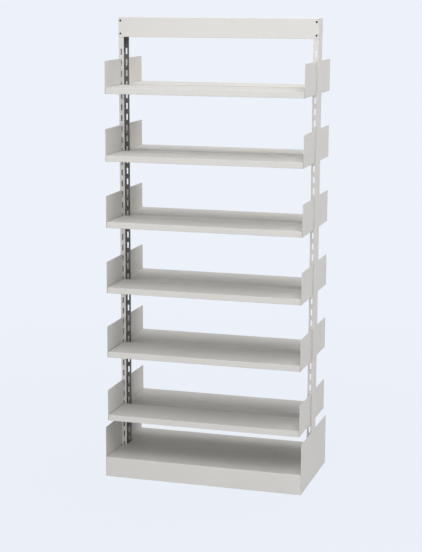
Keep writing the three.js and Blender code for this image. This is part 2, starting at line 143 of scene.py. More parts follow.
class ShelvingSizes(bpy.types.PropertyGroup):
    """Sheet, fold, slot and fastener sizes."""

    bend_inside: length("Inside bend", "Inside radius of every fold", 0.001)
    relief: length("Bend relief", "Gap left beside a fold where it meets a corner", 0.002)
    edge: length("Edge round", "Rounding of cut sheet edges under the paint", 0.0003)
    fit: length("Fit", "Clearance between pieces that touch", 0.0003)
    post_sheet: length("Post sheet", "Thickness of the posts", 0.002)
    slot_inset: length("Slot inset", "From the outer face of a post to the middle of its slots", 0.0121)
    slot_width: length("Slot width", "Width of a slot", 0.0068)
    slot_height: length("Slot height", "Height of a slot", 0.028)
    slot_corner: length("Slot corner", "Radius of the corners of a slot", 0.001)
    slot_pitch: length("Slot pitch", "Distance from slot to slot", 0.0508)
    first_slot: length("First slot", "Height of the lower end of the lowest slot", 0.033)
    keyhole: length("Keyhole", "Half the width of the keyholes in the posts", 0.0059)
    header_sheet: length("Header sheet", "Thickness of the header", 0.0015)
    header_return: length("Header return", "Width of the returns under the header", 0.010)
    bracket_sheet: length("Bracket sheet", "Thickness of the shelf brackets", 0.002)
    bracket_corner: length("Bracket corner", "Radius of the upper outer corner of a bracket", 0.005)
    ledge_setback: length("Ledge setback", "From the post side of a bracket to its ledge", 0.008)
    tab_width: length("Tab width", "Width of the tab that locates a tray", 0.016)
    tab_height: length("Tab height", "Height of the tab above the ledge", 0.010)
    hook_rise: length("Hook rise", "Height of the lower hook above the foot of a bracket", 0.012)
    hook_neck: length("Hook neck", "Height of the neck that passes through a slot", 0.011)
    hook_drop: length("Hook drop", "Length of the tongue behind the flange", 0.0115)
    hook_depth: length("Hook depth", "Width of the tongue", 0.005)
    tray_sheet: length("Tray sheet", "Thickness of the shelf trays", 0.0012)
    tray_lip: length("Tray lip", "Height of the front lip of a tray", 0.028)
    lip_return: length("Lip return", "Width of the return behind the lip", 0.012)
    tray_flange: length("Tray flange", "Depth of the flange at the middle edge of a tray", 0.026)
    base_sheet: length("Base sheet", "Thickness of the base decks", 0.0012)
    kick_return: length("Kick return", "Width of the return under the kick plate", 0.012)
    deck_flange: length("Deck flange", "Depth of the flange at the middle of the base", 0.014)
    deck_end: length("Deck end flange", "Depth of the flanges at the ends of a base deck", 0.025)
    notch_clear: length("Notch clearance", "Gap round a post where a sheet is notched for it", 0.001)
    panel_sheet: length("Panel sheet", "Thickness of the end panels", 0.0015)
    stud_radius: length("Stud radius", "Radius of the studs on an end panel", 0.003)
    stud_head: length("Stud head", "Radius of the head of a stud", 0.0055)
    stud_plate: length("Stud head height", "Height of the head of a stud", 0.002)
    stud_low: length("Lower stud", "Height of the lower stud", 0.122)
    stud_high: length("Upper stud", "Height of the upper stud", 0.205)
    stud_lift: length("Stud lift", "Travel that frees a stud from its keyhole", 0.012)
    screw_shank: length("Screw shank", "Radius of the screw shanks", 0.0025)
    screw_head: length("Screw head height", "Height of the pan heads", 0.0024)
    glide_pad: length("Glide pad", "Height of the pad of a glide", 0.008)
    glide_collar: length("Glide collar", "Half the width of the hexagon under a foot", 0.0078)
    collar_height: length("Collar height", "Height of the hexagon", 0.0036)
    collar_edge: length("Collar edge", "Height of the chamfers of the hexagon", 0.0004)
    collar_sunk: length("Collar seat", "Depth of the hexagon's foot inside the pad", 0.0002)
    glide_stem: length("Glide stem", "Radius of the threaded stem", 0.005)
    glide_pitch: length("Glide thread", "Pitch of the thread", 0.0015)
    glide_tip: length("Glide tip", "Height of the chamfer on top of the stem", 0.0006)


class ShelvingColours(bpy.types.PropertyGroup):
    """Colours of the finishes and of the studio."""

    paint: tint("Paint", "Off-white powder coat", (0.674, 0.659, 0.633))
    scuff: tint("Scuff", "Rubbed paint on the shelf tops", (0.657, 0.643, 0.618))
    # Painted shade: dark grey on the inner faces of the posts, standing for the shadow inside their channels
    painted_inner_shade: tint("Lining", "Thin grey coat inside the posts", (0.20, 0.198, 0.19))
    screw: tint("Screw", "Blackened screws", (0.035, 0.035, 0.037))
    zinc: tint("Zinc", "Plated studs and glide stems", (0.50, 0.505, 0.51))
    pad: tint("Pad", "Moulded glide pads", (0.030, 0.030, 0.032))
    backdrop: tint("Backdrop", "Pale studio floor and backdrop", (0.847, 0.888, 0.956))


# Shapes

def folded(corners, radius):
    """Middle line of a folded sheet.

    Each corner of the given line becomes a quarter circle: its centre lies one radius back along the
    run before and one radius on along the run after, and it starts and ends where the runs touch it.
    """
    corners = np.asarray(corners, float)
    runs = np.diff(corners, axis=0)
    runs /= np.linalg.norm(runs, axis=1, keepdims=True)
    before, after = runs[:-1, None], runs[1:, None]
    turn = np.linspace(0.0, np.pi / 2, BEND_STEPS + 1)[None, :, None]
    centre = corners[1:-1, None] + radius * (after - before)
    arcs = centre + radius * (before * np.sin(turn) - after * np.cos(turn))
    return np.concatenate([corners[:1], arcs.reshape(-1, 2), corners[-1:]])


def carried(line, places, axes):
    """Grid of a line carried straight along the third axis: row by point of the line, column by place."""
    line, places = np.asarray(line, float), np.asarray(places, float)
    points = np.empty((len(line), len(places), 3))
    points[..., axes[0]] = line[:, None, 0]
    points[..., axes[1]] = line[:, None, 1]
    points[..., axes[2]] = places[None, :]
    return points


def turned(radii, heights, steps=TURN_STEPS):
    """Surface of revolution about Z: radius by height and angle. Welding closes its seam and poles."""
    angle = np.linspace(0.0, 2 * np.pi, steps + 1)
    radii = np.broadcast_to(np.asarray(radii, float).reshape(len(heights), -1), (len(heights), steps + 1))
    heights = np.broadcast_to(np.asarray(heights, float).reshape(len(heights), -1), radii.shape)
    return np.stack([radii * np.cos(angle), radii * np.sin(angle), heights], axis=-1)


def ring(across, along, radius, straight, flat=0.0):
    """Sheet around an upright slot, as a grid of two rows.

    The outer row walks round the rectangle of the given stations. Each inner point is the point of the
    slot's edge nearest to its outer one: the slot is all that lies within a radius of its middle rectangle,
    of half the sides given as flat and straight.
    """
    side = np.stack([np.full(len(along), across[-1]), along], axis=1)
    top = np.stack([across[::-1], np.full(len(across), along[-1])], axis=1)
    back = np.stack([np.full(len(along), across[0]), along[::-1]], axis=1)
    foot = np.stack([across, np.full(len(across), along[0])], axis=1)
    outer = np.concatenate([side[:-1], top[:-1], back[:-1], foot])
    middle = np.stack([np.clip(outer[:, 0], -flat, flat), np.clip(outer[:, 1], -straight, straight)], axis=1)
    reach = outer - middle
    inner = middle + radius * reach / np.linalg.norm(reach, axis=1, keepdims=True)
    return np.stack([outer, inner])


def welded(patches):
    """Joins grids of points into one surface.

    Each patch is its grid, the cells to keep or None, and the index of its finish. Points that fall
    together become one, and a cell with two corners at a pole becomes a triangle.
    """
    points, cells, kinds, start = [], [], [], 0
    for grid, keep, index in patches:
        rows, columns = grid.shape[:2]
        number = start + np.arange(rows * columns).reshape(rows, columns)
        corners = np.stack([number[:-1, :-1], number[1:, :-1], number[1:, 1:], number[:-1, 1:]], axis=-1)
        corners = corners.reshape(-1, 4) if keep is None else corners[keep]
        points.append(grid.reshape(-1, 3))
        cells.append(corners)
        kinds.append(np.full(len(corners), index))
        start += rows * columns
    points, cells, kinds = np.concatenate(points), np.concatenate(cells), np.concatenate(kinds)
    _, first, same = np.unique(np.round(points / WELD).astype(np.int64), axis=0,
                               return_index=True, return_inverse=True)
    used, cells = np.unique(same.reshape(-1)[cells], return_inverse=True)
    cells = cells.reshape(-1, 4)
    start_pole, end_pole = cells[:, 0] == cells[:, 3], cells[:, 1] == cells[:, 2]
    whole = ~(start_pole | end_pole)
    faces = cells[whole].tolist() + cells[start_pole][:, :3].tolist() + cells[end_pole][:, [0, 1, 3]].tolist()
    kinds = np.concatenate([kinds[whole], kinds[start_pole], kinds[end_pole]])
    return points[first][used], faces, kinds


def placed(shape, turn=(1.0, 1.0), shift=(0.0, 0.0, 0.0)):
    """A shape mirrored by the signs given for X and Y, then moved."""
    points, faces, kinds = shape
    return points * np.array([*turn, 1.0]) + np.array(shift), faces, kinds


def new_mesh(name, shape, finishes):
    """Mesh of a shape with its faces turned outwards: away from its middle, on the whole."""
    points, faces, kinds = shape
    mesh = bpy.data.meshes.new(name)
    mesh.from_pydata(points, [], faces)
    mesh.polygons.foreach_set("material_index", kinds.astype(np.int32))
    work = bmesh.new()
    work.from_mesh(mesh)
    bmesh.ops.recalc_face_normals(work, faces=work.faces)
    work.to_mesh(mesh)
    work.free()
    count = len(mesh.polygons)
    centres, normals, areas = np.empty(3 * count), np.empty(3 * count), np.empty(count)
    mesh.polygons.foreach_get("center", centres)
    mesh.polygons.foreach_get("normal", normals)
    mesh.polygons.foreach_get("area", areas)
    away = centres.reshape(-1, 3) - points.mean(axis=0)
    if (areas * (away * normals.reshape(-1, 3)).sum(axis=1)).sum() < 0.0:
        mesh.flip_normals()
    for material in finishes:
        mesh.materials.append(material)
    mesh.shade_smooth()
    return mesh


def new_piece(name, body, shape, finishes, sheet=0.0, shaded_inside=False):
    """A piece that rides on a body. A sheet thickness turns its surface into a wall with eased edges."""
    sizes = bpy.context.scene.shelving_sizes
    piece = bpy.data.objects.new(name, new_mesh(name, shape, finishes))
    bpy.context.scene.collection.objects.link(piece)
    if sheet:
        wall = piece.modifiers.new("Sheet", "SOLIDIFY")
        wall.thickness = sheet
        wall.offset = 0.0
        wall.use_even_offset = True
        # The shell that the modifier adds on the inner side takes the second material; on the posts that is
        # painted shade for the channel's shadow
        wall.material_offset = int(shaded_inside)
        ease = piece.modifiers.new("Eased edges", "BEVEL")
        ease.width = sizes.edge
        ease.segments = EDGE_SEGMENTS
        ease.limit_method = "ANGLE"
        ease.angle_limit = EDGE_ANGLE
        level = piece.modifiers.new("Flat faces", "WEIGHTED_NORMAL")
        level.keep_sharp = True
    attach(piece, body)
    return piece


def sheet_piece(node, shape, finishes, sheet, shaded_inside=False):
    """A folded sheet that stands for a CAD node and moves as it does."""
    piece = new_piece(f"{node}_steel", BODY_OF[node], shape, finishes, sheet, shaded_inside)
    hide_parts(node)
    return piece


# Finishes

class Finish:
    """A node material under construction around one Principled shader."""

    def __init__(self, name):
        self.material = bpy.data.materials.new(name)
        self.material.use_nodes = True
        self.tree = self.material.node_tree
        self.shader = self.tree.nodes["Principled BSDF"]
        self.place = self.add("ShaderNodeTexCoord").outputs["Object"]

    def add(self, kind, **values):
        node = self.tree.nodes.new(kind)
        for key, value in values.items():
            node.inputs[key.replace("_", " ")].default_value = value
        return node

    def link(self, source, target):
        self.tree.links.new(source, target)

    def put(self, value, target):
        """Gives a socket a value or joins it to another."""
        if isinstance(value, bpy.types.NodeSocket):
            self.link(value, target)
        else:
            target.default_value = value

    def noise(self, scale, detail, stretch=None):
        """Noise on the piece's own place, in features per metre."""
        cloud = self.add("ShaderNodeTexNoise", Scale=scale, Detail=detail)
        place = self.place
        if stretch is not None:
            mapping = self.add("ShaderNodeMapping", Scale=stretch)
            self.link(place, mapping.inputs["Vector"])
            place = mapping.outputs["Vector"]
        self.link(place, cloud.inputs["Vector"])
        return cloud.outputs["Fac"]

    def spread(self, source, low, high, start=0.3, end=0.7):
        """Moves a value between start and end to between low and high."""
        ramp = self.add("ShaderNodeMapRange", From_Min=start, From_Max=end, To_Min=low, To_Max=high)
        self.link(source, ramp.inputs["Value"])
        return ramp.outputs["Result"]

    def times(self, first, second):
        product = self.add("ShaderNodeMath")
        product.operation = "MULTIPLY"
        self.link(first, product.inputs[0])
        self.link(second, product.inputs[1])
        return product.outputs["Value"]

    def mix(self, factor, first, second):
        """Colour between two others; each is a colour or a socket."""
        blend = self.add("ShaderNodeMix")
        blend.data_type = "RGBA"
        self.link(factor, blend.inputs[MIX_FACTOR])
        for value, target in ((first, blend.inputs[MIX_FIRST]), (second, blend.inputs[MIX_SECOND])):
            self.put(value, target)
        return blend.outputs[MIX_RESULT]

    def bump(self, height, strength, distance):
        relief = self.add("ShaderNodeBump", Strength=strength, Distance=distance)
        self.link(height, relief.inputs["Height"])
        self.link(relief.outputs["Normal"], self.shader.inputs["Normal"])

    def set(self, name, value):
        self.put(value, self.shader.inputs[name])


def shade(colour, level=1.0):
    """A linear colour at a level, with its alpha."""
    return (*(min(1.0, part * level) for part in colour), 1.0)


def finish_named(name, build):
    """The material of that name, built on first use."""
    found = bpy.data.materials.get(name)
    if found is None:
        work = Finish(name)
        build(work, bpy.context.scene.shelving_colours)
        found = work.material
    return found


def paint_nodes(work, colours):
    """Powder coat: a slow drift of tone, rubbed shelf tops, orange-peel relief and uneven gloss."""
    drift = work.spread(work.noise(scale=2.6, detail=3.0), 0.0, 1.0)
    coat = work.mix(drift, shade(colours.paint, 0.975), shade(colours.paint, 1.02))
    facing = work.add("ShaderNodeSeparateXYZ")
    work.link(work.add("ShaderNodeNewGeometry").outputs["Normal"], facing.inputs["Vector"])
    upward = work.spread(facing.outputs["Z"], 0.0, 1.0, 0.75, 0.98)
    streaks = work.spread(work.noise(scale=1.0, detail=4.0, stretch=(14.0, 3.0, 1.0)), 0.0, 0.55, 0.46, 0.74)
    worn = work.times(upward, streaks)
    work.set("Base Color", work.mix(worn, coat, shade(colours.scuff)))
    work.set("Specular IOR Level", 0.12)
    work.set("Roughness", work.spread(work.noise(scale=24.0, detail=3.0), 0.56, 0.68))
    work.bump(work.noise(scale=620.0, detail=2.0), strength=0.10, distance=0.0002)


def painted_shade_nodes(work, colours):
    """Painted shade inside the posts: a dark grey that stands for the shadow in the channel, with blotched
    tone and a dry, uneven surface.
    """
    blotch = work.spread(work.noise(scale=38.0, detail=4.0), 0.0, 1.0)
    work.set("Base Color", work.mix(blotch, shade(colours.painted_inner_shade, 0.8), shade(colours.painted_inner_shade, 1.25)))
    work.set("Roughness", work.spread(work.noise(scale=90.0, detail=2.0), 0.6, 0.75))
    work.bump(work.noise(scale=480.0, detail=2.0), strength=0.12, distance=0.0002)


def screw_nodes(work, colours):
    """Blackened steel: mottled oxide with a low sheen."""
    mottle = work.spread(work.noise(scale=900.0, detail=3.0), 0.0, 1.0)
    work.set("Base Color", work.mix(mottle, shade(colours.screw, 0.7), shade(colours.screw, 1.5)))
    work.set("Metallic", 0.6)
    work.set("Roughness", work.spread(work.noise(scale=700.0, detail=2.0), 0.42, 0.6))


def zinc_nodes(work, colours):
    """Plated steel: spangled tone and fine uneven gloss."""
    spangle = work.spread(work.noise(scale=420.0, detail=3.0), 0.0, 1.0)
    work.set("Base Color", work.mix(spangle, shade(colours.zinc, 0.85), shade(colours.zinc, 1.1)))
    work.set("Metallic", 0.9)
    work.set("Roughness", work.spread(work.noise(scale=260.0, detail=2.0), 0.32, 0.48))


def pad_nodes(work, colours):
    """Moulded pad: fine matt grain."""
    grain = work.noise(scale=1500.0, detail=2.0)
    mottle = work.spread(grain, 0.0, 1.0)
    work.set("Base Color", work.mix(mottle, shade(colours.pad, 0.85), shade(colours.pad, 1.3)))
    work.set("Roughness", work.spread(work.noise(scale=300.0, detail=2.0), 0.55, 0.7))
    work.bump(grain, strength=0.15, distance=0.0001)


def paint():
    """The coat that most pieces wear."""
    return finish_named("off_white_powder_coat", paint_nodes)


# Folded pieces

def post_shape(size):
    """Right-hand post: a C-section carried up Z, with a ring of sheet round each slot and keyhole."""
    low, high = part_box("right_post")
    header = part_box("top_header")[0].z
    half = size.post_sheet / 2
    bend = size.bend_inside + half
    web, flange = high.x - half, high.y - half
    slot_x = high.x - size.slot_inset
    margin = web - bend - slot_x
    flat = size.slot_width / 2 - size.slot_corner
    straight = size.slot_height / 2 - size.slot_corner
    count = int((header - size.first_slot - size.slot_pitch) / size.slot_pitch) + 1
    middles = size.first_slot + size.slot_height / 2 + size.slot_pitch * np.arange(count)
    cells = len(RING_STATIONS) - 1
    across = margin * RING_STATIONS
    step = np.array([straight, straight + margin * np.tan(np.pi / 8), straight + margin])
    along = np.concatenate([[-size.slot_pitch / 2], -step[::-1], step, [size.slot_pitch / 2]])
    rows = np.concatenate([(middles[:, None] + along[None, :-1]).ravel(), [middles[-1] + along[-1]]])
    rows = np.concatenate([[low.z], rows, [high.z]])

    key_across = KEYHOLE_MARGIN * size.keyhole * RING_STATIONS
    corners = [(low.x, -flange), (web, -flange), (web, flange), (low.x, flange)]
    line = folded(corners, bend)
    slot_line = np.stack([slot_x + across[:-1], np.full(cells, -flange)], axis=1)
    key_line = np.stack([np.full(cells + 1, web), key_across], axis=1)
    turn = BEND_STEPS + 1
    line = np.concatenate([line[:1], slot_line, line[1:1 + turn], key_line, line[1 + turn:-1],
                           slot_line[::-1] * [1.0, -1.0], line[-1:]])
    keep = np.ones((len(line) - 1, len(rows) - 1), bool)
    keep[1:1 + cells, 1:-1] = False
    keep[-1 - cells:-1, 1:-1] = False

    patches = []
    slot_ring = ring(across, along, size.slot_corner, straight, flat)
    for middle in middles:
        for side in (-1.0, 1.0):
            patches.append((np.stack([slot_x + slot_ring[..., 0], np.full(slot_ring.shape[:2], side * flange),
                                      middle + slot_ring[..., 1]], axis=-1), None, 0))
    first_key = 1 + cells + turn
    for stud in (size.stud_low, size.stud_high):
        reach = size.keyhole + size.relief
        start = np.searchsorted(rows, stud - reach) - 1
        end = np.searchsorted(rows, stud + size.stud_lift + reach) + 1
        middle = stud + size.stud_lift / 2
        key_ring = ring(key_across, rows[start:end] - middle, size.keyhole, size.stud_lift / 2)
        patches.append((np.stack([np.full(key_ring.shape[:2], web), key_ring[..., 0],
                                  middle + key_ring[..., 1]], axis=-1), None, 0))
        keep[first_key:first_key + cells, start:end - 1] = False
    patches.append((carried(line, rows, (0, 1, 2)), keep, 0))
    return welded(patches)


def header_shape(size):
    """Header: a channel section carried along X, its lower returns cut back where the posts stand."""
    low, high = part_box("top_header")
    half = size.header_sheet / 2
    bend = size.bend_inside + half
    face, foot, top = high.y - half, low.z + half, high.z - half
    tip = high.y - size.header_return
    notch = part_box("right_post")[0].x - size.notch_clear
    line = folded([(-tip, foot), (-face, foot), (-face, top), (face, top), (face, foot), (tip, foot)], bend)
    keep = np.ones((len(line) - 1, 3), bool)
    keep[:1 + BEND_STEPS, ::2] = False
    keep[-1 - BEND_STEPS:, ::2] = False
    patches = [(carried(line, [low.x, -notch, notch, high.x], (1, 2, 0)), keep, 0)]
    for side in (-1.0, 1.0):
        skirt = [(side * face, low.z), (side * face, foot + bend)]
        for end in (-1.0, 1.0):
            patches.append((carried(skirt, [end * notch, end * high.x], (1, 2, 0)), None, 0))
    return welded(patches)


def bracket_shape(size):
    """Right-hand rear bracket on its own foot: a plate cut to its outline from a grid in Y and Z, a folded
    ledge and a tab. The round corner maps each square cell into a disc by the square-to-circle formula."""
    low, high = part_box("rear_right_bracket_1")
    half = size.bracket_sheet / 2
    bend = size.bend_inside + half
    plate, fold, tall = high.x - half, 2 * bend, high.z - low.z
    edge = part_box("right_post")[1].y + size.fit
    tongue = low.y + size.hook_depth
    ledge_from = edge + size.ledge_setback
    ledge_to = high.y - size.lip_return - 2 * size.bend_inside
    reach = int((tall - size.hook_rise - size.hook_neck) / size.slot_pitch)
    hooks = size.hook_rise + size.fit + size.slot_pitch * np.array([0, reach])
    corner = size.bracket_corner * np.linspace(0.0, 1.0, CORNER_STEPS + 1)
    columns = np.unique(np.concatenate([
        [low.y, tongue, edge, ledge_from - size.relief, ledge_from, ledge_to, ledge_to + size.relief],
        high.y - size.bracket_corner + corner]))
    rows = np.unique(np.concatenate([
        [0.0, fold], hooks - size.hook_drop, hooks, hooks + size.hook_neck,
        tall - size.bracket_corner + corner]))
    z, y = np.meshgrid(rows[:-1] + np.diff(rows) / 2, columns[:-1] + np.diff(columns) / 2, indexing="ij")
    recess = (z < fold) & (y > ledge_from - size.relief) & (y < ledge_to + size.relief)
    keep = (y > edge) & ~recess
    for hook in hooks:
        keep |= (y < edge) & (z > hook) & (z < hook + size.hook_neck)
        keep |= (y < tongue) & (z > hook - size.hook_drop) & (z < hook)
    grid_z, grid_y = np.meshgrid(rows, columns, indexing="ij")
    u = np.clip((grid_y - high.y) / size.bracket_corner + 1.0, 0.0, 1.0)
    v = np.clip((grid_z - tall) / size.bracket_corner + 1.0, 0.0, 1.0)
    grid_y = grid_y + size.bracket_corner * u * (np.sqrt(1.0 - v * v / 2) - 1.0)
    grid_z = grid_z + size.bracket_corner * v * (np.sqrt(1.0 - u * u / 2) - 1.0)
    patches = [(np.stack([np.full(grid_y.shape, plate), grid_y, grid_z], axis=-1), keep, 0)]
    ledge = folded([(plate, fold), (plate, half), (low.x, half)], bend)
    patches.append((carried(ledge, [ledge_from, ledge_to], (0, 2, 1)), None, 0))
    tab_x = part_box("rear_tray_1")[1].x - size.tray_sheet / 2 - half
    tab_y = (ledge_from + ledge_to) / 2 + size.tab_width * np.array([-0.5, 0.5])
    tab = [(tab_x, half), (tab_x, size.bracket_sheet + size.tab_height)]
    patches.append((carried(tab, tab_y, (0, 2, 1)), None, 0))
    return welded(patches)


def tray_shape(size):
    """Rear tray on its own foot: return, lip, shelf and middle flange in one folded line carried along X,
    with an end flange folded down at each end, relieved at the corners and notched over the bracket's tab.

    The photograph shows no upstand at the middle edge, so the flange there goes down, inside the lip.
    """
    low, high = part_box("rear_tray_1")
    half = size.tray_sheet / 2
    bend = size.bend_inside + half
    front, back, top = high.y - half, low.y + half, size.tray_lip - half
    flange_x = high.x - half
    flat_x = flange_x - bend
    lip_corners = [(high.y - size.lip_return, half), (front, half), (front, top), (front - 2 * bend, top)]
    lip = folded(lip_corners, bend)[:-1]
    inner = folded([(back + 2 * bend, top), (back, top), (back, size.tray_lip - size.tray_flange)], bend)[1:]
    ledge_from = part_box("right_post")[1].y + size.fit + size.ledge_setback
    ledge_to = high.y - size.lip_return - 2 * size.bend_inside
    tab = (ledge_from + ledge_to) / 2
    side = size.tab_width / 2 + 2 * size.fit
    stations = np.array([front - bend - size.relief, tab + side, tab - side, back + bend + size.relief])
    shelf = np.stack([stations, np.full(len(stations), top)], axis=1)
    line = np.concatenate([lip, shelf, inner])
    keep = np.ones((len(line) - 1, 3), bool)
    keep[len(lip) - 1:len(lip) + len(stations), ::2] = False
    patches = [(carried(line, [low.x, -flat_x, flat_x, high.x], (1, 2, 0)), keep, 0)]
    foot = size.bracket_sheet + size.fit
    notch = size.bracket_sheet + size.tab_height + 2 * size.fit
    flange = folded([(flat_x - bend, top), (flange_x, top), (flange_x, foot)], bend)[1:]
    flange = np.concatenate([flange[:-1], [(flange_x, notch)], flange[-1:]])
    flange_keep = np.ones((len(flange) - 1, 3), bool)
    flange_keep[-1, 1] = False
    for end in (-1.0, 1.0):
        patches.append((carried(flange * [end, 1.0], stations, (0, 2, 1)), flange_keep, 0))
    return welded(patches)


def deck_shape(size):
    """Rear base deck: kick return, kick plate, deck and middle flange in one folded line carried along X,
    notched round the posts, with an end flange folded down beside each end panel."""
    low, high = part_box("rear_base_deck")
    post_low, post_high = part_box("right_post")
    half = size.base_sheet / 2
    bend = size.bend_inside + half
    front, back, top, foot = high.y - half, low.y + half, high.z - half, low.z + half
    flange_x = high.x - half
    flat_x = flange_x - bend
    notch_x, notch_y = post_low.x - size.notch_clear, post_high.y + size.notch_clear
    kick_corners = [(high.y - size.kick_return, foot), (front, foot), (front, top), (front - 2 * bend, top)]
    kick = folded(kick_corners, bend)[:-1]
    inner = folded([(back + 2 * bend, top), (back, top), (back, high.z - size.deck_flange)], bend)[1:]
    stations = np.array([front - bend - size.relief, notch_y + size.relief, notch_y])
    line = np.concatenate([kick, np.stack([stations, np.full(len(stations), top)], axis=1), inner])
    keep = np.ones((len(line) - 1, 5), bool)
    keep[len(kick) - 1:, ::4] = False
    keep[len(kick) + len(stations) - 1:, 1::2] = False
    places = [low.x, -flat_x, -notch_x, notch_x, flat_x, high.x]
    patches = [(carried(line, places, (1, 2, 0)), keep, 0)]
    flange = folded([(flat_x - bend, top), (flange_x, top), (flange_x, high.z - size.deck_end)], bend)[1:]
    for end in (-1.0, 1.0):
        patches.append((carried(flange * [end, 1.0], stations[:2], (0, 2, 1)), None, 0))
    return welded(patches)


def panel_shape(size):
    """Right-hand end panel: a flat sheet, gridded so that its tone can drift over it."""
    low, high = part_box("right_end_panel")
    face = high.x - size.panel_sheet / 2
    across = np.linspace(low.y, high.y, PANEL_CELLS[0] + 1)
    up = np.linspace(low.z, high.z, PANEL_CELLS[1] + 1)
    edge = np.stack([np.full(len(across), face), across], axis=1)
    return welded([(carried(edge, up, (0, 1, 2)), None, 0)])


# Turned pieces

def screw_shape(size, head_radius, shank):
    """Pan-head screw standing on Z: a crowned head sunk by a cross recess, then the shank below it.

    The crown falls with the fourth power of the radius. The recess is the larger of two crossed bars,
    each a product of slopes along and across it.
    """
    share = np.linspace(0.0, 1.0, HEAD_ROWS)
    radius = head_radius * share
    angle = np.linspace(0.0, 2 * np.pi, TURN_STEPS + 1)
    along, across = radius[:, None] * np.cos(angle), radius[:, None] * np.sin(angle)

    def bar(u, v):
        return (np.clip((RECESS_REACH - np.abs(u) / head_radius) / RECESS_SLOPE, 0.0, 1.0)
                * np.clip((RECESS_WIDTH - np.abs(v) / head_radius) / RECESS_SLOPE, 0.0, 1.0))

    sunk = np.maximum(bar(along, across), bar(across, along))
    crown = size.screw_head * ((1.0 - CROWN_FALL * share ** 4)[:, None] - RECESS_DEPTH * sunk)
    radii = np.concatenate([radius, [head_radius, size.screw_shank, size.screw_shank, 0.0]])
    below = np.array([0.0, 0.0, -shank, -shank])
    heights = np.concatenate([crown, np.repeat(below[:, None], TURN_STEPS + 1, axis=1)])
    return turned(radii[:, None], heights)


def glide_patches(size, low, high):
    """Levelling glide: a dished pad, a hexagon collar and a threaded stem, turned about Z.

    The hexagon's radius is its half width over the cosine of the angle from the nearest flat. The thread
    is a triangle wave of height minus angle, so it climbs one pitch a turn.
    """
    radius = (high.x - low.x) / 2
    foot, top = size.glide_pad, size.glide_pad + size.collar_height
    angle = np.linspace(0.0, 2 * np.pi, TURN_STEPS + 1)
    hexagon = size.glide_collar / np.cos(np.mod(angle, np.pi / 3) - np.pi / 6)
    pole, eased = 0.0 * hexagon, COLLAR_CHAMFER * hexagon
    collar_radii = np.stack([pole, eased, hexagon, hexagon, eased, pole])
    collar_heights = np.array(
        [foot - size.collar_sunk, foot, foot + size.collar_edge, top - size.collar_edge, top, top])
    tip = high.z - size.glide_tip
    rows = np.linspace(top, tip, int((tip - top) / size.glide_pitch * THREAD_STEPS))
    wave = np.abs(np.mod(rows[:, None] / size.glide_pitch - angle / (2 * np.pi), 1.0) - 0.5)
    thread = size.glide_stem - THREAD_DEPTH * size.glide_pitch * (1.0 - 2.0 * wave)
    stem_radii = np.concatenate([pole[None], thread, STEM_TIP * thread[-1:], pole[None]])
    stem_heights = np.concatenate([rows[:1], rows, [high.z, high.z]])
    pad = turned(radius * PAD_RADII, size.glide_pad * PAD_HEIGHTS)
    centre = np.array([(low.x + high.x) / 2, (low.y + high.y) / 2, 0.0])
    return [(pad + centre, None, 1), (turned(collar_radii, collar_heights) + centre, None, 0),
            (turned(stem_radii, stem_heights) + centre, None, 0)]


def stud_patches(size, low, high):
    """The two headed studs of an end panel, turned about X: a round-edged head on a plain shank."""
    root = high.x - low.x - size.panel_sheet / 2
    radii = np.concatenate([size.stud_head * STUD_RADII, [size.stud_radius, size.stud_radius, 0.0]])
    heights = np.concatenate([size.stud_plate * STUD_HEIGHTS, [size.stud_plate, root, root]])
    solid = turned(radii, heights)
    standing = np.stack([low.x + solid[..., 2], solid[..., 0], solid[..., 1]], axis=-1)
    return [(standing + np.array([0.0, 0.0, stud]), None, 0) for stud in (size.stud_low, size.stud_high)]


# Operators

class PieceOperator:
    """What the operators share: where they are listed and how they report success."""

    bl_options = {"REGISTER", "UNDO"}

    def execute(self, context):
        self.build(context.scene.shelving_sizes)
        return {"FINISHED"}


class SHELVING_OT_posts(PieceOperator, bpy.types.Operator):
    """Build the two slotted posts"""

    bl_idname = "shelving.posts"
    bl_label = "Posts"

    def build(self, size):
        shape = post_shape(size)
        # The inner faces of the posts wear painted shade: dark grey for the shadow in the channel
        painted_inner_shade = finish_named("painted_shade_in_posts", painted_shade_nodes)
        for side, sign in SIDES.items():
            sheet_piece(f"{side}_post", placed(shape, (sign, 1.0)), [paint(), painted_inner_shade], size.post_sheet, True)


class SHELVING_OT_header(PieceOperator, bpy.types.Operator):
    """Build the header that caps the posts"""

    bl_idname = "shelving.header"
    bl_label = "Header"

    def build(self, size):
        sheet_piece("top_header", header_shape(size), [paint()], size.header_sheet)


class SHELVING_OT_screws(PieceOperator, bpy.types.Operator):
    """Build the pan-head screws through the header faces"""

    bl_idname = "shelving.screws"
    bl_label = "Header screws"

    def build(self, size):
        black = finish_named("blackened_screw", screw_nodes)
        for node in [name for name in frame["nodes"] if name.endswith("_screw")]:
            low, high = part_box(node)
            sign = FACES[node.split("_")[0]]
            radius, depth = (high.x - low.x) / 2, high.y - low.y - size.screw_head
            head = screw_shape(size, radius, depth)
            seat = high.y - size.screw_head if sign > 0 else low.y + size.screw_head
            centre = np.array([(low.x + high.x) / 2, seat, (low.z + high.z) / 2])
            standing = np.stack([head[..., 0], sign * head[..., 2], head[..., 1]], axis=-1) + centre
            shape = welded([(standing, None, 0)])
            piece = new_piece(f"{node}_turned", BODY_OF[node], shape, [black])
            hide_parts(node)


class SHELVING_OT_brackets(PieceOperator, bpy.types.Operator):
    """Build the hooked shelf brackets"""

    bl_idname = "shelving.brackets"
    bl_label = "Shelf brackets"

    def build(self, size):
        shape = bracket_shape(size)
        for level in range(1, LEVELS + 1):
            for face, turn_y in FACES.items():
                for side, turn_x in SIDES.items():
                    node = f"{face}_{side}_bracket_{level}"
                    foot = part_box(node)[0].z
                    sheet_piece(node, placed(shape, (turn_x, turn_y), (0.0, 0.0, foot)), [paint()],
                                size.bracket_sheet)


